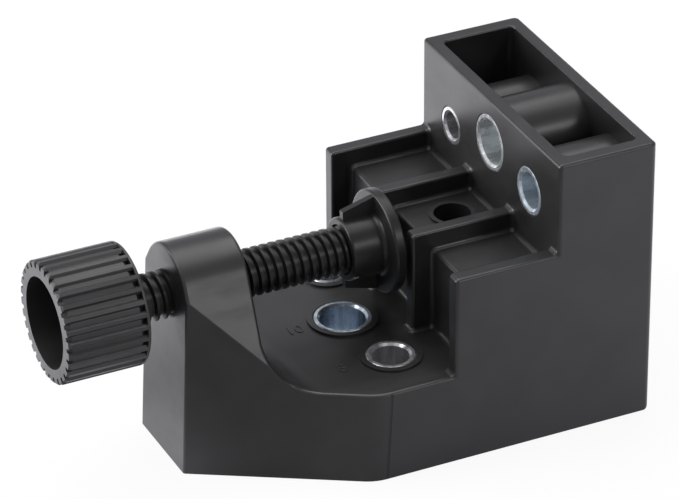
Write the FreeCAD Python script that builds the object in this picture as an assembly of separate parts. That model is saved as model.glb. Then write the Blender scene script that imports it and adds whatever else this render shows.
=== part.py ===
import FreeCAD, Part
import math
import os

Vec = FreeCAD.Vector

# A doweling jig: one moulded body with steel drill bushes in its floor and in its tower, and a clamp
# screw that presses a board against the fence. +X is the right side seen from the knob, +Y runs along
# the clamp screw from the knob towards the tower, +Z is up. The origin is on the resting plane, at the
# middle of the foot's front edge. Sizes are in millimetres and angles in degrees.

# Body, outside
body_width = 64.0
nose_width = 22.2
nose_length = 35.3
nose_draft_angle = 1.9
fence_y = 54.0
ledge_depth = 24.0
tower_depth = 23.2
floor_height = 21.0
fence_height = 23.6
tower_height = 21.4
corner_radius = 1.4
shoulder_radius = 9.5
edge_radius = 0.8
root_radius = 1.0
heel_radius = 1.6

# Column that carries the clamp screw: depth and lean are taken at the height of the screw's axis
screw_axis_height = 38.3
head_radius = 11.0
column_depth = 16.6
column_lean = 1.65
column_overhang = 1.0
flank_angle = 31.5
column_root_radius = 10.1
flank_foot_share = 0.36

# Fence and ledge: outer walls and ribs stand proud of the block between them
fence_wall = 3.6
rib_thickness = 3.2
rib_centre_x = 9.9
rib_edge_radius = 0.6
fence_setback = 4.9
ledge_drop = 4.5
sight_hole_radius = 4.1
sight_hole_back = 15.2
sight_ring_width = 1.0
sight_ring_height = 0.5

# Tower pocket and the hollow underside
tower_wall = 3.0
pocket_depth = 24.0
rim_radius = 0.5
boss_wall = 2.5
shell_wall = 3.2
plate_thickness = 3.4
cross_rib_y = 33.0
cross_rib_thickness = 2.4
column_core_width = 16.0
column_core_roof = 27.5

# Steel drill bushes
small_drill = 6.0
middle_drill = 8.0
large_drill = 10.0
bush_wall = 1.5
bush_spacing = 18.2
small_bush_offset = 6.2
middle_bush_offset = 8.5
large_bush_offset = 11.1
bore_clearance = 0.03
bush_seat_clearance = 0.02
bush_lead_in = 0.5
bush_outer_chamfer = 0.3
bush_foot_recess = 0.5
collar_width = 1.3
collar_height = 0.5

# Clamp screw
thread_radius = 5.25
thread_depth = 1.0
thread_pitch = 2.0
thread_crest = 0.55
thread_base = 1.45
thread_bite = 0.3
thread_clearance = 0.18
thread_front_y = -5.4
thread_rear_y = 44.4
thread_taper = 0.8
thread_end_turns = 4
neck_radius = 2.3
ball_radius = 3.4
tail_across_flats = 6.8
tail_length = 9.0
tail_clearance = 0.05
tail_sides = 6

# Knob
knob_radius = 13.4
knob_length = 18.5
knob_wall = 3.4
knob_web = 3.6
knob_boss_radius = 6.4
knob_boss_wall = 2.4
knob_collar_radius = 6.2
knob_collar_length = 1.8
knob_rim_length = 0.7
knob_rim_radius = 0.4
knob_small_edge = 0.5
grip_count = 30
grip_height = 0.6
grip_crest_width = 0.8
grip_foot_width = 1.6
grip_bevel_length = 1.2
grip_bevel_depth = 0.9
grip_front_bevel = 0.45

# Swivel pad on the screw's ball
pad_radius = 11.5
pad_flange_thickness = 2.5
pad_hub_radius = 7.0
pad_front_y = 42.5
pad_mouth_clearance = 0.35
pad_throat_clearance = 0.5
pad_fin_start = 9.0
pad_fin_reach = 11.3
pad_fin_thickness = 1.5
pad_fin_count = 2
pad_turn = 94.0
pad_edge_radius = 0.6
pad_small_edge = 0.5
pad_rest_gap = 1.1
pad_back_wall = 1.7
ball_clearance = 0.1

# Shared by the cuts and by the search for edges
overrun = 2.0
tolerance = 0.001
edge_samples = 5

# Places that follow from the sizes above
tower_front_y = fence_y + ledge_depth
body_length = tower_front_y + tower_depth
ledge_height = floor_height + fence_height
tower_top = ledge_height + tower_height
column_top = screw_axis_height + head_radius
half_width = body_width / 2
channel_floor = ledge_height - ledge_drop
setback_y = fence_y + fence_setback
pocket_floor = tower_top - pocket_depth
pad_rear_y = fence_y - pad_rest_gap
ball_y = pad_rear_y - pad_back_wall - ball_clearance - ball_radius
knob_rear_y = thread_front_y - knob_collar_length
knob_front_y = knob_rear_y - knob_length
knob_cup_radius = knob_radius - knob_wall

x_axis = Vec(1, 0, 0)
y_axis = Vec(0, 1, 0)
z_axis = Vec(0, 0, 1)
origin = Vec(0, 0, 0)


# A closed wire through corners, each of them a point and the radius that rounds it.
def rounded_wire(corners):
    edges = []
    ends = []
    for i, (point, radius) in enumerate(corners):
        before = (corners[i - 1][0] - point).normalize()
        after = (corners[(i + 1) % len(corners)][0] - point).normalize()
        if radius == 0:
            ends.append((point, point))
            continue
        half = before.getAngle(after) / 2
        reach = radius / math.tan(half)
        first = point + before * reach
        last = point + after * reach
        bulge = radius / math.sin(half) - radius
        middle = point + (before + after).normalize() * bulge
        ends.append((first, last))
        edges.append(Part.Arc(first, middle, last).toShape())
    for i, (first, last) in enumerate(ends):
        edges.append(Part.LineSegment(ends[i - 1][1], first).toShape())
    return Part.Wire(Part.__sortEdges__(edges))


def prism(wire, direction):
    return Part.Face(wire).extrude(direction)


def box(x_range, y_range, z_range):
    low = Vec(x_range[0], y_range[0], z_range[0])
    return Part.makeBox(x_range[1] - x_range[0], y_range[1] - y_range[0], z_range[1] - z_range[0], low)


def cylinder_y(radius, start_y, end_y, x, z):
    return Part.makeCylinder(radius, end_y - start_y, Vec(x, start_y, z), y_axis)


# The column's front face, and its rear face above the root.
def front_at(z):
    return column_lean * z / screw_axis_height


def rear_at(z):
    rise = screw_axis_height - floor_height
    return column_depth + column_overhang * (z - screw_axis_height) / rise


# Outline of the body seen from the right, with the column still as wide as the body.
def side_profile():
    points = (
        (0, 0, 0),
        (body_length, 0, heel_radius),
        (body_length, tower_top, edge_radius),
        (tower_front_y, tower_top, edge_radius),
        (tower_front_y, ledge_height, 0),
        (fence_y, ledge_height, edge_radius),
        (fence_y, floor_height, 0),
        (rear_at(floor_height), floor_height, column_root_radius),
        (rear_at(column_top), column_top, 0),
        (front_at(column_top), column_top, 0),
    )
    return rounded_wire([(Vec(-half_width, y, z), radius) for y, z, radius in points])


# The narrow nose that widens to parallel sides. Its slanted sides lean inwards as they rise, and so its
# shoulders lean back.
def nose_form():
    start_y = -overrun * 2
    end_y = body_length + overrun
    start_x = nose_width / 2 + nose_spread() * start_y
    points = (
        (-start_x, start_y, 0),
        (start_x, start_y, 0),
        (half_width, nose_length, shoulder_radius),
        (half_width, end_y, 0),
        (-half_width, end_y, 0),
        (-half_width, nose_length, shoulder_radius),
    )
    outline = rounded_wire([(Vec(x, y, 0), radius) for x, y, radius in points])
    return prism(outline, nose_rise() * tower_top)


# Plan of the body behind the nose, with its two upright rear corners rounded.
def rear_form():
    start_y = -overrun
    points = (
        (-half_width, start_y, 0),
        (half_width, start_y, 0),
        (half_width, body_length, corner_radius),
        (-half_width, body_length, corner_radius),
    )
    outline = rounded_wire([(Vec(x, y, 0), radius) for x, y, radius in points])
    return prism(outline, z_axis * tower_top)


# Outline of the column seen from the knob: a round head about the screw, on flanks that spread to the floor.
def column_outline(start_y):
    turn = math.radians(flank_angle)
    touch_x = head_radius * math.cos(turn)
    touch_z = screw_axis_height + head_radius * math.sin(turn)
    foot_x = touch_x + touch_z * math.tan(turn)
    left_foot = Vec(-foot_x, start_y, 0)
    left = Vec(-touch_x, start_y, touch_z)
    top = Vec(0, start_y, column_top)
    right = Vec(touch_x, start_y, touch_z)
    right_foot = Vec(foot_x, start_y, 0)
    return Part.Wire([
        Part.LineSegment(left_foot, left).toShape(),
        Part.Arc(left, top, right).toShape(),
        Part.LineSegment(right, right_foot).toShape(),
        Part.LineSegment(right_foot, left_foot).toShape(),
    ])


# How much wider the nose gets on each side for each step along +Y.
def nose_spread():
    return (body_width - nose_width) / 2 / nose_length


# How much narrower the nose gets on each side for each step up.
def nose_draft():
    return math.tan(math.radians(nose_draft_angle))


# The way up along the nose's shoulders.
def nose_rise():
    return z_axis + y_axis * (nose_draft() / nose_spread())


def edges_on(shape, holds):
    open_edges = [edge for edge in shape.Edges if not edge.Degenerated]
    return [edge for edge in open_edges if all(holds(p) for p in edge.discretize(Number=edge_samples))]


def near(value, target):
    return abs(value - target) < tolerance


# Half the nose's width at a point's place along the nose and height.
def nose_half_width(point):
    return nose_width / 2 + nose_spread() * point.y - nose_draft() * point.z


def outer_form():
    block = prism(side_profile(), x_axis * body_width)
    block = block.common(nose_form()).common(rear_form())
    column_end = column_depth + column_root_radius
    flank_foot_z = floor_height + column_root_radius * flank_foot_share
    zone = box((-half_width - overrun, half_width + overrun), (-overrun, column_end),
               (flank_foot_z, column_top + overrun))
    waste = zone.cut(prism(column_outline(-overrun), y_axis * (column_end + overrun * 2)))
    return round_outer_edges(block.cut(waste).removeSplitter())


# Rounds the column's front and rear edges, the floor's rim and the long edges of both sides.
def round_outer_edges(form):
    above_foot = [edge for edge in form.Edges if edge.BoundBox.ZMax > tolerance]
    sheet = Part.Compound(above_foot)
    front = edges_on(sheet, lambda p: near(p.y, front_at(p.z)))
    side = edges_on(sheet, lambda p: near(abs(p.x), half_width) and p.z > floor_height - tolerance
                    and nose_length + tolerance < p.y < body_length - corner_radius + tolerance)
    rear = edges_on(sheet, lambda p: near(p.y, rear_at(p.z)) and p.z > screw_axis_height)
    rim = edges_on(sheet, lambda p: near(abs(p.x), nose_half_width(p)) and p.z > floor_height - tolerance)
    return form.makeFillet(edge_radius, front + side + rear + rim)


# Space in front of and above the set-back block, between one pair of fence edges.
def fence_recess(low_x, high_x):
    points = (
        (fence_y - overrun, floor_height, 0),
        (setback_y, floor_height, root_radius),
        (setback_y, channel_floor, edge_radius),
        (tower_front_y, channel_floor, root_radius),
        (tower_front_y, ledge_height + overrun, 0),
        (fence_y - overrun, ledge_height + overrun, 0),
    )
    outline = rounded_wire([(Vec(low_x, y, z), radius) for y, z, radius in points])
    return prism(outline, x_axis * (high_x - low_x))


def recess_ranges():
    inner = rib_centre_x - rib_thickness / 2
    outer = rib_centre_x + rib_thickness / 2
    wall = half_width - fence_wall
    return ((-wall, -outer), (-inner, inner), (outer, wall))


# Rounds the proud edges of walls and ribs first, and then the roots where they meet floor and tower.
def cut_fence(form):
    for low_x, high_x in recess_ranges():
        form = form.cut(fence_recess(low_x, high_x))
    planes = [abs(x) for pair in recess_ranges() for x in pair]
    rims = edges_on(form, lambda p: any(near(abs(p.x), x) for x in planes)
                    and fence_y - tolerance < p.y < tower_front_y + tolerance
                    and floor_height - tolerance < p.z < ledge_height + tolerance
                    and (p.y < fence_y + edge_radius + tolerance or p.z > ledge_height - tolerance))
    form = form.makeFillet(rib_edge_radius, rims)
    roots = edges_on(form, lambda p: near(p.z, floor_height) and fence_y - tolerance < p.y < setback_y)
    return form.makeFillet(root_radius, roots)


# Drill bushes: each has its drill size, its place along the board's edge and its distance from the fence.
def bushes():
    return (
        (small_drill, -bush_spacing, small_bush_offset),
        (large_drill, 0, large_bush_offset),
        (middle_drill, bush_spacing, middle_bush_offset),
    )


def bush_radius(drill):
    return drill / 2 + bush_wall


def sight_hole_y():
    return fence_y + sight_hole_back


def add_sight_ring(form):
    outer = sight_hole_radius + sight_ring_width
    centre = Vec(0, sight_hole_y(), channel_floor - plate_thickness / 2)
    ring = Part.makeCylinder(outer, plate_thickness / 2 + sight_ring_height, centre, z_axis)
    return form.fuse(ring)


def cut_tower_pocket(form):
    wall = half_width - fence_wall
    front = tower_front_y + tower_wall
    back = body_length - tower_wall
    corners = ((-wall, front), (wall, front), (wall, back), (-wall, back))
    outline = rounded_wire([(Vec(x, y, pocket_floor), corner_radius) for x, y in corners])
    form = form.cut(prism(outline, z_axis * (pocket_depth + overrun)))
    rim = edges_on(form, lambda p: near(p.z, tower_top) and abs(p.x) < wall + tolerance
                   and front - tolerance < p.y < back + tolerance)
    form = form.makeFillet(rim_radius, rim)
    for drill, x, offset in bushes():
        form = form.fuse(tower_boss(drill, x, ledge_height + offset))
    return form


# A round boss across the tower pocket, on a web that stands on the pocket's floor.
def tower_boss(drill, x, z):
    radius = bush_radius(drill) + boss_wall
    front = tower_front_y + tower_wall / 2
    back = body_length - tower_wall / 2
    web = box((x - radius, x + radius), (front, back), (pocket_floor - plate_thickness / 2, z))
    return cylinder_y(radius, front, back, x, z).fuse(web)


# The hollow inside the nose, one wall thickness in from the outside, up to the cross rib.
def nose_hollow(roof):
    slant = shell_wall * math.hypot(1, nose_spread())
    near_x = nose_half_width(Vec(0, shell_wall, 0)) - slant
    far_x = min(nose_half_width(Vec(0, cross_rib_y, 0)) - slant, half_width - fence_wall)
    points = ((-near_x, shell_wall), (near_x, shell_wall), (far_x, cross_rib_y), (-far_x, cross_rib_y))
    outline = rounded_wire([(Vec(x, y, 0) - nose_rise() * overrun, root_radius) for x, y in points])
    hollow = prism(outline, nose_rise() * (roof + overrun))
    return hollow.common(box((-half_width, half_width), (0, cross_rib_y), (-overrun, roof)))


# The body is hollow from below: nose, column core, bush bay and three bays under the ledge.
def underside():
    roof = floor_height - plate_thickness
    wall = half_width - fence_wall
    hollow = nose_hollow(roof)
    core_front = shell_wall + front_at(column_core_roof)
    half_core = column_core_width / 2
    core = box((-half_core, half_core), (core_front, column_depth - shell_wall), (-overrun, column_core_roof))
    bay_start = cross_rib_y + cross_rib_thickness
    bay = box((-wall, wall), (bay_start, setback_y), (-overrun, roof))
    for drill, x, offset in bushes():
        boss = Part.makeCylinder(bush_radius(drill) + boss_wall, roof + overrun * 2,
                                 Vec(x, fence_y - offset, -overrun), z_axis)
        bay = bay.cut(boss)
    hollow = hollow.fuse(core).fuse(bay)
    for low_x, high_x in recess_ranges():
        rear = box((low_x, high_x), (setback_y + plate_thickness, body_length - tower_wall),
                   (-overrun, channel_floor - plate_thickness))
        hollow = hollow.fuse(rear)
    return hollow


# Seats for the six bushes, and a raised collar round each one in the floor.
def seat_bushes(form):
    for drill, x, offset in bushes():
        radius = bush_radius(drill)
        collar = Part.makeCylinder(radius + collar_width, collar_height + plate_thickness / 2,
                                   Vec(x, fence_y - offset, floor_height - plate_thickness / 2), z_axis)
        form = form.fuse(collar)
    for drill, x, offset in bushes():
        seat = bush_radius(drill) + bush_seat_clearance
        upright = Part.makeCylinder(seat, floor_height + collar_height + overrun * 2,
                                    Vec(x, fence_y - offset, -overrun), z_axis)
        level = cylinder_y(seat, tower_front_y - overrun, body_length + overrun, x, ledge_height + offset)
        form = form.cut(upright).cut(level)
    return form


# A helical ridge along +Y through the screw's axis, in step with every other one made here.
def thread_ridge(radius, crest, base, bite, start_y, end_y):
    first_turn = math.floor(start_y / thread_pitch) - 1
    last_turn = math.ceil(end_y / thread_pitch) + 1
    length = (last_turn - first_turn) * thread_pitch
    inner = thread_radius - thread_depth - bite
    section = Part.makePolygon([
        Vec(inner, 0, -base / 2), Vec(radius, 0, -crest / 2), Vec(radius, 0, crest / 2),
        Vec(inner, 0, base / 2), Vec(inner, 0, -base / 2)])
    helix = Part.makeLongHelix(thread_pitch, length, radius, 0)
    ridge = Part.Wire(helix).makePipeShell([section], True, True)
    ridge.rotate(origin, x_axis, -90)
    ridge.translate(Vec(0, first_turn * thread_pitch, screw_axis_height))
    return ridge


def cut_screw_hole(form):
    core = thread_radius - thread_depth + thread_clearance
    end_y = column_depth + overrun
    hole = cylinder_y(core, -overrun, end_y, 0, screw_axis_height)
    groove = thread_ridge(thread_radius + thread_clearance, thread_crest + thread_clearance * 2,
                          thread_base + thread_clearance * 2, 0, 0, column_depth)
    return form.cut(hole).cut(groove)


def jig_body():
    form = cut_fence(outer_form())
    form = cut_tower_pocket(form)
    form = form.cut(underside())
    form = add_sight_ring(form)
    form = form.cut(Part.makeCylinder(sight_hole_radius, ledge_height, Vec(0, sight_hole_y(), 0), z_axis))
    return cut_screw_hole(seat_bushes(form)).removeSplitter()


# A steel tube with a lead-in in its bore and a small chamfer outside, at both ends.
def bush(drill, length):
    outer = bush_radius(drill)
    inner = drill / 2 + bore_clearance
    section = Part.makePolygon([
        Vec(inner, 0, bush_lead_in), Vec(inner + bush_lead_in, 0, 0), Vec(outer - bush_outer_chamfer, 0, 0),
        Vec(outer, 0, bush_outer_chamfer), Vec(outer, 0, length - bush_outer_chamfer),
        Vec(outer - bush_outer_chamfer, 0, length), Vec(inner + bush_lead_in, 0, length),
        Vec(inner, 0, length - bush_lead_in), Vec(inner, 0, bush_lead_in)])
    return Part.Face(section).revolve(origin, z_axis, 360)


def save_bushes():
    for drill, x, offset in bushes():
        upright = bush(drill, floor_height + collar_height - bush_foot_recess)
        upright.translate(Vec(x, fence_y - offset, bush_foot_recess))
        save(upright, "base_bush_%d" % drill)
        level = bush(drill, tower_depth - bush_foot_recess)
        level.rotate(origin, x_axis, -90)
        level.translate(Vec(x, tower_front_y, ledge_height + offset))
        save(level, "tower_bush_%d" % drill)


# A solid of revolution about the screw's axis from points of distance along Y and radius.
def turned(points):
    section = Part.makePolygon([Vec(0, y, screw_axis_height + r) for y, r in points + points[:1]])
    return Part.Face(section).revolve(Vec(0, 0, screw_axis_height), y_axis, 360)


def hexagon_y(across_flats, start_y, end_y):
    radius = across_flats / 2 / math.cos(math.pi / tail_sides)
    corners = []
    for i in range(tail_sides + 1):
        turn = 2 * math.pi * i / tail_sides
        corners.append(Vec(radius * math.sin(turn), start_y, screw_axis_height + radius * math.cos(turn)))
    return prism(Part.makePolygon(corners), y_axis * (end_y - start_y))


# What trims the thread to a cone at one end; ahead is +1 at the pad's end and -1 at the knob's.
def thread_end(end_y, ahead):
    outer = thread_radius + overrun
    return turned((
        (end_y, 0), (end_y, thread_radius - thread_taper),
        (end_y - ahead * (thread_taper + overrun), outer),
        (end_y + ahead * thread_pitch * thread_end_turns, outer),
        (end_y + ahead * thread_pitch * thread_end_turns, 0)))


# Threaded spindle: hexagonal tail in the knob, thread through the column, neck and ball in the pad.
def clamp_spindle():
    core = thread_radius - thread_depth
    shank = cylinder_y(core, thread_front_y, thread_rear_y, 0, screw_axis_height)
    ridge = thread_ridge(thread_radius, thread_crest, thread_base, thread_bite, thread_front_y, thread_rear_y)
    for end_y, ahead in ((thread_front_y, -1), (thread_rear_y, 1)):
        ridge = ridge.cut(thread_end(end_y, ahead))
    neck = cylinder_y(neck_radius, thread_rear_y - overrun, ball_y, 0, screw_axis_height)
    ball = Part.makeSphere(ball_radius, Vec(0, ball_y, screw_axis_height))
    tail = hexagon_y(tail_across_flats, thread_front_y - tail_length, thread_front_y + overrun)
    return shank.fuse(ridge).fuse(neck).fuse(ball).fuse(tail)


# Hollow knob without its grip: a barrel that is bevelled at both ends, behind it a thin rim.
def knob_blank():
    barrel = knob_radius - grip_height
    bevel = barrel - grip_bevel_depth
    rim_y = knob_rear_y - knob_rim_length
    points = (
        (knob_front_y, knob_cup_radius, 0),
        (knob_front_y, bevel, 0),
        (knob_front_y + grip_bevel_length, barrel, 0),
        (rim_y - grip_bevel_length, barrel, 0),
        (rim_y, bevel, 0),
        (rim_y, knob_radius, 0),
        (knob_rear_y, knob_radius, knob_rim_radius),
        (knob_rear_y, knob_collar_radius, 0),
        (thread_front_y, knob_collar_radius, knob_small_edge),
        (thread_front_y, 0, 0),
        (thread_front_y - tail_length - knob_boss_wall, 0, 0),
        (thread_front_y - tail_length - knob_boss_wall, knob_boss_radius, knob_small_edge),
        (knob_rear_y - knob_web, knob_boss_radius, knob_small_edge),
        (knob_rear_y - knob_web, knob_cup_radius, knob_small_edge),
    )
    wire = rounded_wire([(Vec(0, y, screw_axis_height + r), radius) for y, r, radius in points])
    return Part.Face(wire).revolve(Vec(0, 0, screw_axis_height), y_axis, 360)


# One ridge of the grip, as long as the knob from its front to its rim.
def grip_ridge():
    foot = knob_cup_radius + grip_height
    foot_z = screw_axis_height + foot
    waist_z = screw_axis_height + knob_radius - grip_height
    crest_z = screw_axis_height + knob_radius
    half_foot = grip_foot_width / 2
    half_crest = grip_crest_width / 2
    points = ((-half_foot, foot_z), (half_foot, foot_z), (half_foot, waist_z), (half_crest, crest_z),
              (-half_crest, crest_z), (-half_foot, waist_z), (-half_foot, foot_z))
    section = Part.makePolygon([Vec(x, knob_front_y, z) for x, z in points])
    return prism(section, y_axis * (knob_length - knob_rim_length / 2))


# What bevels the front ends of all ridges at once.
def grip_front_waste():
    return turned((
        (knob_front_y - overrun, knob_radius - grip_front_bevel - overrun),
        (knob_front_y - overrun, knob_radius + overrun),
        (knob_front_y + grip_front_bevel + overrun, knob_radius + overrun)))


def knob():
    ridges = []
    for i in range(grip_count):
        ridge = grip_ridge()
        ridge.rotate(Vec(0, 0, screw_axis_height), y_axis, 360 * i / grip_count)
        ridges.append(ridge)
    socket = hexagon_y(tail_across_flats + tail_clearance * 2, thread_front_y - tail_length - tail_clearance,
                       thread_front_y + overrun)
    return knob_blank().fuse(ridges).cut(grip_front_waste()).removeSplitter().cut(socket)


# Pressure pad: a flange with a hub that snaps over the spindle's ball, stiffened by fins.
def pressure_pad():
    flange_y = pad_rear_y - pad_flange_thickness
    points = (
        (pad_front_y, 0, 0),
        (pad_front_y, pad_hub_radius, pad_small_edge),
        (flange_y, pad_hub_radius, root_radius),
        (flange_y, pad_radius, pad_edge_radius),
        (pad_rear_y, pad_radius, pad_small_edge),
        (pad_rear_y, 0, 0),
    )
    wire = rounded_wire([(Vec(0, y, screw_axis_height + r), radius) for y, r, radius in points])
    pad = Part.Face(wire).revolve(Vec(0, 0, screw_axis_height), y_axis, 360)
    for i in range(pad_fin_count):
        pad = pad.fuse(pad_fin(pad_turn + 360 * i / pad_fin_count))
    mouth = thread_radius + pad_mouth_clearance
    throat = neck_radius + pad_throat_clearance
    mouth_end = thread_rear_y + pad_mouth_clearance
    cavity = cylinder_y(mouth, pad_front_y - overrun, mouth_end, 0, screw_axis_height)
    cavity = cavity.fuse(cylinder_y(throat, pad_front_y, ball_y, 0, screw_axis_height))
    socket = Part.makeSphere(ball_radius + ball_clearance, Vec(0, ball_y, screw_axis_height))
    return pad.cut(cavity).cut(socket).removeSplitter()


# A fin from the hub's mouth to the flange; its angle is measured from +X towards +Z.
def pad_fin(angle):
    flange_y = pad_rear_y - pad_flange_thickness / 2
    core = neck_radius + ball_clearance
    start_y = pad_front_y + pad_small_edge
    points = ((core, start_y), (pad_fin_start, start_y), (pad_fin_reach, flange_y), (core, flange_y))
    corners = [Vec(x, y, screw_axis_height - pad_fin_thickness / 2) for x, y in points + points[:1]]
    fin = prism(Part.makePolygon(corners), z_axis * pad_fin_thickness)
    fin.rotate(Vec(0, 0, screw_axis_height), y_axis, -angle)
    return fin


def save(shape, name):
    solids = shape.Solids
    print(name, "valid", shape.isValid(), "solids", len(solids), "volume", round(shape.Volume, 1))
    solids[0].exportStep("parts/" + name + ".step")


os.makedirs("parts", exist_ok=True)
save(jig_body(), "jig_body")
save_bushes()
save(clamp_spindle(), "clamp_spindle")
save(knob(), "knob")
save(pressure_pad(), "pressure_pad")
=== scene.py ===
import math

import bpy
from mathutils import Matrix, Vector


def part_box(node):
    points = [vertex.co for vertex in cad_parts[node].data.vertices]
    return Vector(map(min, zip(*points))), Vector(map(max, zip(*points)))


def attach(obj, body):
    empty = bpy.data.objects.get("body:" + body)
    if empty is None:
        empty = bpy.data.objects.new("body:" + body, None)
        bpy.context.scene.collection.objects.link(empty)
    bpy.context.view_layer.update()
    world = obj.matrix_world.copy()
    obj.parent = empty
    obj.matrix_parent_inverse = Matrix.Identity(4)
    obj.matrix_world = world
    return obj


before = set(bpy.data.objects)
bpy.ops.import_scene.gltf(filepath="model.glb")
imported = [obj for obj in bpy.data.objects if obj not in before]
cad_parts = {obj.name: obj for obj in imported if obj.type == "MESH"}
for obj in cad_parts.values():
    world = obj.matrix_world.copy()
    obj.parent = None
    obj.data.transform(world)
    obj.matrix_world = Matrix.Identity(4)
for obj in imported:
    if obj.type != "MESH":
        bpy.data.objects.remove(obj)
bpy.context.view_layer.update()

# A black moulded doweling jig with bright plated drill bushes, on a pale floor under soft light.
# +X is the right side seen from the knob, +Y runs from the knob to the tower, +Z is up, in metres.
mm = 0.001
print("frame loaded:", len(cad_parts), "parts")


# Shader maths: a Wire is one output socket, and sums on wires add their nodes to the material.
class Wire:
    def __init__(self, tree, socket=None):
        self.tree = tree
        self.socket = socket

    # Adds any node: its settings first, then the values or wires of its sockets.
    def node(self, kind, settings=None, sockets=None, output=0):
        made = self.tree.nodes.new(kind)
        for name, value in (settings or {}).items():
            setattr(made, name, value)
        for key, value in (sockets or {}).items():
            if isinstance(value, Wire):
                self.tree.links.new(value.socket, made.inputs[key])
            else:
                made.inputs[key].default_value = value
        return Wire(self.tree, made.outputs[output] if len(made.outputs) else None)

    def maths(self, operation, first, second=0.0):
        settings = {"operation": operation}
        return self.node("ShaderNodeMath", settings, {0: first, 1: second})

    def __add__(self, other):
        return self.maths("ADD", self, other)

    def __radd__(self, other):
        return self.maths("ADD", other, self)

    def __sub__(self, other):
        return self.maths("SUBTRACT", self, other)

    def __rsub__(self, other):
        return self.maths("SUBTRACT", other, self)

    def __mul__(self, other):
        return self.maths("MULTIPLY", self, other)

    def __rmul__(self, other):
        return self.maths("MULTIPLY", other, self)

    def __truediv__(self, other):
        return self.maths("DIVIDE", self, other)

    def __pow__(self, other):
        return self.maths("POWER", self, other)

    def absolute(self):
        return self.maths("ABSOLUTE", self)

    def atLeast(self, other):
        return self.maths("MAXIMUM", self, other)

    def atMost(self, other):
        return self.maths("MINIMUM", self, other)

    # 0 below low, 1 above high, and a smooth step between them.
    def between(self, low, high):
        settings = {"interpolation_type": "SMOOTHSTEP"}
        return self.node("ShaderNodeMapRange", settings, {"Value": self, "From Min": low, "From Max": high})

    # Cloudy values around a half, in blots of about the grain's size.
    def noise(self, grain, detail, roughness):
        sockets = {"Vector": self, "Scale": 1.0 / grain, "Detail": detail, "Roughness": roughness}
        return self.node("ShaderNodeTexNoise", None, sockets)

    # The colour that goes from one to the other as this wire goes from 0 to 1.
    def shade(self, dark, pale):
        return self.node("ShaderNodeMix", {"data_type": "RGBA"}, {0: self, 6: dark, 7: pale}, 2)

    def stretch(self, scale):
        return self.node("ShaderNodeMapping", None, {"Vector": self, "Scale": scale})

    def part(self, name):
        return self.node("ShaderNodeSeparateXYZ", None, {"Vector": self}, name)


def newMaterial(name):
    material = bpy.data.materials.new(name)
    material.use_nodes = True
    material.node_tree.nodes.clear()
    return material, Wire(material.node_tree)


def objectPlace(start):
    return start.node("ShaderNodeTexCoord", None, None, "Object")


def surfaceNormal(start):
    return start.node("ShaderNodeNewGeometry", None, None, "Normal")


def bumped(start, height, strength):
    return start.node("ShaderNodeBump", None, {"Height": height, "Distance": 1.0, "Strength": strength})


def grey(level, blue=1.0):
    return (level, level, level * blue, 1.0)


edgeWear = {
    "radius": 0.45 * mm,
    "samples": 4,
    "flat": 0.01,
    "corner": 0.12,
    "patchSize": 2.4 * mm,
    "patchLow": 0.3,
    "patchHigh": 0.62,
    "paleness": 0.045,
    "colourShare": 0.55,
    "polish": 0.08,
}


# Patches along the corners that hands have rubbed smooth.
def wornMask(start, place):
    look = edgeWear
    rounded = start.node("ShaderNodeBevel", {"samples": look["samples"]}, {"Radius": look["radius"]})
    pair = {0: rounded, 1: surfaceNormal(start)}
    match = start.node("ShaderNodeVectorMath", {"operation": "DOT_PRODUCT"}, pair, "Value")
    corner = (1.0 - match).between(look["flat"], look["corner"])
    return corner * place.noise(look["patchSize"], 3.0, 0.6).between(look["patchLow"], look["patchHigh"])


fingerSmears = {
    "size": 9 * mm,
    "stretch": (1.0, 0.45, 1.6),
    "low": 0.42,
    "high": 0.66,
    "roughness": 0.05,
}


# Wide faint smears that dull the gloss.
def smearMask(place):
    look = fingerSmears
    return place.stretch(look["stretch"]).noise(look["size"], 4.0, 0.6).between(look["low"], look["high"])


scuffs = {
    "width": 0.5 * mm,
    "stretch": (0.12, 1.0, 1.0),
    "low": 0.66,
    "high": 0.76,
    "patchSize": 5 * mm,
    "patchLow": 0.5,
    "patchHigh": 0.64,
    "colourShare": 0.12,
    "depth": 0.004 * mm,
}


# Short scratches across the jig, in patches.
def scuffMask(place):
    look = scuffs
    lines = place.stretch(look["stretch"]).noise(look["width"], 2.0, 0.7).between(look["low"], look["high"])
    return lines * place.noise(look["patchSize"], 1.0, 0.5).between(look["patchLow"], look["patchHigh"])


settledDust = {
    "size": 0.7 * mm,
    "low": 0.62,
    "high": 0.78,
    "steepest": 0.55,
    "flattest": 0.95,
    "amount": 0.5,
    "paleness": 0.06,
    "colourShare": 0.35,
    "roughness": 0.15,
}


# Specks of dust on the faces that look up.
def dustMask(start, place):
    look = settledDust
    facing = surfaceNormal(start).part("Z").between(look["steepest"], look["flattest"])
    return facing * place.noise(look["size"], 2.0, 0.7).between(look["low"], look["high"]) * look["amount"]


# Where the mould's halves meet: an upright line on each side, at the rear end of the nose's shoulder. The
# line is bumped in as a groove, and its dark colour is painted shade in that groove.
partingLineWithPaintedShade = {
    "startY": 37.95 * mm,
    "lean": 0.056,
    "sideX": 31.9 * mm,
    "sideFade": 0.3 * mm,
    "topZ": 20.4 * mm,
    "topFade": 0.5 * mm,
    "width": 0.34 * mm,
    "depth": 0.55 * mm,
    "shade": 0.002,
}


# 1 along the parting line, where the groove and its painted shade go, and 0 elsewhere.
def partingGrooveAndShadeMask(place):
    look = partingLineWithPaintedShade
    height = place.part("Z")
    away = place.part("Y") - height * look["lean"] - look["startY"]
    line = 1.0 - away.absolute().between(look["width"] / 2, look["width"])
    side = place.part("X").absolute().between(look["sideX"] - look["sideFade"], look["sideX"])
    return line * side * (1.0 - height.between(look["topZ"], look["topZ"] + look["topFade"]))


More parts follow.
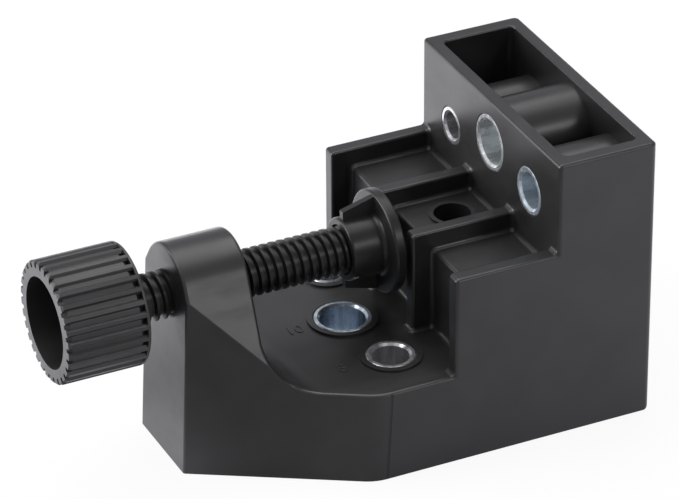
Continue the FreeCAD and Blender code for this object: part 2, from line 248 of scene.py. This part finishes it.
# Painted shade inside the knob's hollow front, which is also made a little rougher.
knobCupPaintedShade = {
    "axisZ": 38.3 * mm,
    "radius": 10.03 * mm,
    "edge": 0.12 * mm,
    "cover": 0.9,
    "shade": 0.001,
    "roughness": 0.10,
}


# 1 within the radius of the knob's hollow front, where painted shade darkens it, and 0 outside it.
def cupShadeAreaMask(place):
    look = knobCupPaintedShade
    across = place.part("X")
    rise = place.part("Z") - look["axisZ"]
    away = (across * across + rise * rise) ** 0.5
    return 1.0 - away.between(look["radius"], look["radius"] + look["edge"])


blackPlastic = {
    "body": {"dark": 0.010, "pale": 0.016, "roughness": 0.32, "specular": 0.50,
             "grain": 0.22 * mm, "grainHeight": 0.012 * mm},
    "screw": {"dark": 0.007, "pale": 0.011, "roughness": 0.34, "specular": 0.20,
              "grain": 0.20 * mm, "grainHeight": 0.008 * mm},
    "knob": {"dark": 0.012, "pale": 0.016, "roughness": 0.44, "specular": 0.58,
             "grain": 0.26 * mm, "grainHeight": 0.014 * mm},
    "pad": {"dark": 0.008, "pale": 0.012, "roughness": 0.33, "specular": 0.30,
            "grain": 0.20 * mm, "grainHeight": 0.010 * mm},
    "cloudSize": 16 * mm,
    "cloudLow": 0.3,
    "cloudHigh": 0.7,
    "blueTint": 1.04,
    "waveSize": 12 * mm,
    "waveHeight": 0.05 * mm,
    "grainRoughness": 0.1,
    "smoothest": 0.12,
    "dullest": 0.9,
    "bump": 0.7,
}


# Satin black moulding: spark-eroded grain, flow clouds, smears, scuffs, rubbed corners and a little dust,
# with painted shade in the parting groove and inside the knob's hollow front.
def mouldedPlastic(name, kind):
    look = blackPlastic
    own = look[kind]
    material, start = newMaterial(name)
    place = objectPlace(start)
    cloud = place.noise(look["cloudSize"], 3.0, 0.55).between(look["cloudLow"], look["cloudHigh"])
    grain = place.noise(own["grain"], 2.0, 0.6)
    wave = place.noise(look["waveSize"], 1.0, 0.4)
    smear = smearMask(place)
    scuff = scuffMask(place)
    worn = wornMask(start, place)
    dust = dustMask(start, place)

    colour = cloud.shade(grey(own["dark"]), grey(own["pale"], look["blueTint"]))
    colour = (worn * edgeWear["colourShare"]).shade(colour, grey(edgeWear["paleness"]))
    powder = dust * settledDust["colourShare"] + scuff * scuffs["colourShare"]
    colour = powder.shade(colour, grey(settledDust["paleness"]))
    rough = own["roughness"] + smear * fingerSmears["roughness"] - worn * edgeWear["polish"]
    rough = rough + dust * settledDust["roughness"] + (grain - 0.5) * look["grainRoughness"]
    height = grain * own["grainHeight"] + wave * look["waveHeight"] - scuff * scuffs["depth"]
    if kind == "body":
        # Painted shade along the parting groove, which is also bumped in.
        seamShadeAndDepth = partingGrooveAndShadeMask(place)
        colour = seamShadeAndDepth.shade(colour, grey(partingLineWithPaintedShade["shade"]))
        height = height - seamShadeAndDepth * partingLineWithPaintedShade["depth"]
    if kind == "knob":
        # Painted shade inside the knob's hollow front, and a rougher face there.
        cupShadeArea = cupShadeAreaMask(place)
        colour = (cupShadeArea * knobCupPaintedShade["cover"]).shade(colour, grey(knobCupPaintedShade["shade"]))
        rough = rough + cupShadeArea * knobCupPaintedShade["roughness"]

    surface = start.node("ShaderNodeBsdfPrincipled", None, {
        "Base Color": colour, "Roughness": rough.atLeast(look["smoothest"]).atMost(look["dullest"]),
        "Specular IOR Level": own["specular"], "Normal": bumped(start, height, look["bump"])})
    start.node("ShaderNodeOutputMaterial", None, {"Surface": surface})
    return material


plating = {
    "dark": 0.38,
    "pale": 0.86,
    "roughness": 0.17,
    "smoothest": 0.08,
    "streakSize": 1.5 * mm,
    "streakStretch": 0.06,
    "streakLow": 0.36,
    "streakHigh": 0.62,
    "streakShare": 0.55,
    "turningStep": 0.10 * mm,
    "ringHeight": 0.003 * mm,
    "ringShare": 0.15,
    "ringRoughness": 0.12,
    "blotchSize": 2.6 * mm,
    "blotchLow": 0.34,
    "blotchHigh": 0.68,
    "blotchShare": 0.3,
    "blotchRoughness": 0.10,
    "grain": 0.05 * mm,
    "grainHeight": 0.001 * mm,
    "bump": 0.6,
    # Each bush's level is painted light: its brightness is set bush by bush to how brightly its bore is
    # lit. The tints are the plating's own.
    "bushes": {
        "base_bush_6": {"axis": "Z", "level": 0.95, "metallic": 0.94, "tint": (0.98, 1.0, 1.03)},
        "base_bush_8": {"axis": "Z", "level": 0.85, "metallic": 0.84, "tint": (1.0, 0.99, 1.01)},
        "base_bush_10": {"axis": "Z", "level": 1.0, "metallic": 0.94, "tint": (0.88, 0.99, 1.10)},
        "tower_bush_6": {"axis": "Y", "level": 0.90, "metallic": 0.86, "tint": (0.99, 0.99, 1.02)},
        "tower_bush_8": {"axis": "Y", "level": 1.05, "metallic": 0.76, "tint": (0.89, 0.99, 1.08)},
        "tower_bush_10": {"axis": "Y", "level": 1.10, "metallic": 0.78, "tint": (0.96, 1.0, 1.01)},
    },
}


def platingColour(level, tint):
    return tuple(level * share for share in tint) + (1.0,)


# Bright plated steel, turned on a lathe: fine rings along the bore, drawn streaks and a blotchy tint, at a
# brightness level per bush that is painted light.
def platedSteel(name, own):
    look = plating
    material, start = newMaterial(name)
    place = objectPlace(start)
    along = place.part(own["axis"]) / look["turningStep"]
    rings = start.node("ShaderNodeTexNoise", {"noise_dimensions": "1D"}, {
        "W": along, "Scale": 1.0, "Detail": 2.0, "Roughness": 0.6})
    blotch = place.noise(look["blotchSize"], 3.0, 0.6).between(look["blotchLow"], look["blotchHigh"])
    slim = look["streakStretch"]
    streak = place.stretch((1.0, slim, 1.0) if own["axis"] == "Y" else (1.0, 1.0, slim))
    streak = streak.noise(look["streakSize"], 2.0, 0.5).between(look["streakLow"], look["streakHigh"])
    grain = place.noise(look["grain"], 1.0, 0.5)

    dark = platingColour(look["dark"] * own["level"], own["tint"])
    pale = platingColour(look["pale"] * own["level"], own["tint"])
    stain = blotch * look["blotchShare"] + rings * look["ringShare"] + streak * look["streakShare"]
    rough = look["roughness"] + blotch * look["blotchRoughness"] + (rings - 0.5) * look["ringRoughness"]
    height = rings * look["ringHeight"] + grain * look["grainHeight"]
    surface = start.node("ShaderNodeBsdfPrincipled", None, {
        "Base Color": stain.shade(pale, dark), "Metallic": own["metallic"],
        "Roughness": rough.atLeast(look["smoothest"]), "Normal": bumped(start, height, look["bump"])})
    start.node("ShaderNodeOutputMaterial", None, {"Surface": surface})
    return material


def dress(node, material):
    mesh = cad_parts[node].data
    mesh.materials.clear()
    mesh.materials.append(material)


def dressFrame():
    dress("jig_body", mouldedPlastic("bodyPlastic", "body"))
    dress("clamp_spindle", mouldedPlastic("screwPlastic", "screw"))
    dress("knob", mouldedPlastic("knobPlastic", "knob"))
    dress("pressure_pad", mouldedPlastic("padPlastic", "pad"))
    for node, own in plating["bushes"].items():
        dress(node, platedSteel(node + "Steel", own))


dressFrame()
print("finishes on the frame's parts")


floorMarks = {
    "words": ("6", "8", "10"),
    "floorZ": 21.0 * mm,
    "height": 0.10 * mm,
    "sink": 0.05 * mm,
    "digitSize": 4.2 * mm,
    "gapToBush": 11.4 * mm,
    "turn": 90.0,
    "rimBevel": 0.04 * mm,
}


def deselectAll():
    for thing in bpy.context.selected_objects:
        thing.select_set(False)


# Leaves the object at the origin, unturned, with its place in its mesh.
def settle(thing):
    thing.data.transform(thing.matrix_basis)
    thing.matrix_basis = Matrix.Identity(4)


# A moulded numeral that stands a little proud of the jig's floor.
def floorNumeral(word, centre):
    look = floorMarks
    deselectAll()
    bpy.ops.object.text_add(location=(0, 0, 0))
    numeral = bpy.context.object
    numeral.name = "numeral_%s" % word
    numeral.data.body = word
    numeral.data.align_x = "CENTER"
    numeral.data.align_y = "CENTER"
    numeral.data.size = look["digitSize"]
    numeral.data.extrude = (look["height"] + look["sink"]) / 2
    numeral.data.bevel_depth = look["rimBevel"]
    bpy.ops.object.convert(target="MESH")
    numeral = bpy.context.object
    numeral.location = centre + Vector((0, 0, (look["height"] - look["sink"]) / 2))
    numeral.rotation_euler = (0, 0, math.radians(look["turn"]))
    bpy.context.view_layer.update()
    settle(numeral)
    numeral.data.materials.append(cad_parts["jig_body"].data.materials[0])
    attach(numeral, "body")


def addNumerals():
    look = floorMarks
    for word in look["words"]:
        low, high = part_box("base_bush_" + word)
        middle = (low + high) / 2
        floorNumeral(word, Vector((middle.x, middle.y - look["gapToBush"], look["floorZ"])))


addNumerals()
print("numerals on the floor")


# 1 for the rays that see the backdrop as plain white: from the camera or through glass.
def seenRay(start):
    camera = start.node("ShaderNodeLightPath", None, None, "Is Camera Ray")
    through = start.node("ShaderNodeLightPath", None, None, "Is Transmission Ray")
    return (camera + through).atMost(1.0)


# 1 for the rays that the plastic and the steel mirror.
def mirrorRay(start):
    return start.node("ShaderNodeLightPath", None, None, "Is Glossy Ray")


bounceTint = (0.975, 0.97, 1.03, 1.0)  # what every ray but the seen ones gets from the floor and the world

studioFloor = {
    "size": 8.0,
    "shade": 0.80,
    "darkerShare": 0.99,
    "cloudSize": 0.3,
    "whiteShare": 0.92,  # how white the camera sees it, less a faint shadow
    "mirrorShare": 0.75,
    "glow": 0.34,  # painted light that the jig mirrors of it, brighter towards the tower
    "glowRise": 6.3,
    "glowLow": 0.2,
    "glowHigh": 1.4,
    "leftGlow": 1.58,
    "leftFrom": 0.01,
    "leftTo": -0.05,
    # Painted pools of light, and one painted shadow (a negative light) beside the knob.
    "paintedLightSpots": (
        {"place": (-0.004, -0.002, 0.0), "reach": 0.030, "light": 0.75},
        {"place": (-0.035, -0.018, 0.0), "reach": 0.035, "light": -0.70},
        {"place": (0.012, -0.010, 0.0), "reach": 0.024, "light": 1.0},
        {"place": (-0.060, -0.060, 0.0), "reach": 0.050, "light": 1.3},
    ),
}


# 1 at a place on the floor, and down to 0 at a distance from it: the shape of each painted pool of light
# and of the painted shadow.
def paintedSpotMask(place, centre, reach):
    away = place.node("ShaderNodeVectorMath", {"operation": "DISTANCE"}, {0: place, 1: centre}, "Value")
    return 1.0 - away.between(0.0, reach)


# Painted light on the floor for the rays that the jig mirrors: brighter towards the tower and to the left,
# with painted pools of light and one painted shadow beside the knob.
def paintedFloorGlow(place):
    look = studioFloor
    rise = place.part("Y") * look["glowRise"] + look["glow"]
    left = 1.0 - place.part("X").between(look["leftTo"], look["leftFrom"])
    glow = rise.atLeast(look["glowLow"]).atMost(look["glowHigh"]) + left * look["leftGlow"]
    for spot in look["paintedLightSpots"]:
        glow = glow + paintedSpotMask(place, spot["place"], spot["reach"]) * spot["light"]
    return glow


def addFloor():
    look = studioFloor
    deselectAll()
    bpy.ops.mesh.primitive_plane_add(size=look["size"], location=(0, 0, 0))
    floor = bpy.context.object
    floor.name = "studio_floor"
    material, start = newMaterial("floorPaper")
    place = objectPlace(start)
    cloud = place.noise(look["cloudSize"], 2.0, 0.5)
    colour = cloud.shade(grey(look["shade"] * look["darkerShare"]), grey(look["shade"]))
    paper = start.node("ShaderNodeBsdfDiffuse", None, {"Color": colour})
    seen = seenRay(start)
    mirror = mirrorRay(start)
    light = mirror * (paintedFloorGlow(place) - 1.0) + 1.0
    tint = seen.shade(bounceTint, grey(1.0))
    white = start.node("ShaderNodeEmission", None, {"Color": tint, "Strength": light})
    share = seen * look["whiteShare"] + mirror * look["mirrorShare"]
    surface = start.node("ShaderNodeMixShader", None, {0: share, 1: paper, 2: white})
    start.node("ShaderNodeOutputMaterial", None, {"Surface": surface})
    floor.data.materials.append(material)


studioWorld = {
    "light": 0.50,
    "mirrorLight": 0.57,
}


def addWorld():
    look = studioWorld
    world = bpy.data.worlds.new("studioWorld")
    world.use_nodes = True
    world.node_tree.nodes.clear()
    start = Wire(world.node_tree)
    seen = seenRay(start)
    mirror = mirrorRay(start)
    strength = seen + mirror * look["mirrorLight"] + (1.0 - seen - mirror) * look["light"]
    tint = seen.shade(bounceTint, grey(1.0))
    sky = start.node("ShaderNodeBackground", None, {"Color": tint, "Strength": strength})
    start.node("ShaderNodeOutputWorld", None, {"Surface": sky})
    bpy.context.scene.world = world


studioLamps = {
    "aim": (0, 0.05, 0.03),
    "lamps": {
        "topLamp": {"place": (-0.35, 0.15, 1.2), "size": 1.0, "power": 9.5},
        "frontLamp": {"place": (-0.25, -0.60, 1.05), "size": 0.5, "power": 4.0},
        "leftLamp": {"place": (-0.55, -1.10, 0.20), "size": 0.8, "power": 21.0},
        "edgeLamp": {"place": (0.934, 0.493, 0.641), "size": 0.22, "power": 1.7},
    },
}


def addLamps():
    aim = Vector(studioLamps["aim"])
    for name, look in studioLamps["lamps"].items():
        data = bpy.data.lights.new(name, "AREA")
        data.shape = "SQUARE"
        data.size = look["size"]
        data.energy = look["power"]
        lamp = bpy.data.objects.new(name, data)
        lamp.location = look["place"]
        lamp.rotation_euler = (aim - lamp.location).to_track_quat("-Z", "Y").to_euler()
        bpy.context.scene.collection.objects.link(lamp)


# Where the photograph was taken from: round and above the aim, then shifted within the picture's plane.
viewpoint = {
    "aim": (0, 0.050, 0.025),
    "azimuth": 64.587,
    "elevation": 30.564,
    "roll": -0.363,
    "distance": 0.98120,
    "right": -0.00704,
    "up": 0.009797,
    "lens": 241.47,
}


def addCamera():
    look = viewpoint
    turn = math.radians(look["azimuth"])
    rise = math.radians(look["elevation"])
    roll = math.radians(look["roll"])
    back = Vector((math.sin(turn) * math.cos(rise), -math.cos(turn) * math.cos(rise), math.sin(rise)))
    level = (-back).cross(Vector((0, 0, 1))).normalized()
    upright = level.cross(-back)
    right = level * math.cos(roll) + upright * math.sin(roll)
    up = upright * math.cos(roll) - level * math.sin(roll)
    data = bpy.data.cameras.new("photoCamera")
    data.lens = look["lens"]
    camera = bpy.data.objects.new("photoCamera", data)
    place = Vector(look["aim"]) + back * look["distance"] + right * look["right"] + up * look["up"]
    turned = Matrix((right, up, back)).transposed().to_4x4()
    camera.matrix_world = Matrix.Translation(place) @ turned
    bpy.context.scene.collection.objects.link(camera)
    bpy.context.scene.camera = camera


addFloor()
addWorld()
addLamps()
addCamera()
bpy.context.scene.view_settings.view_transform = "Standard"
print("studio ready")
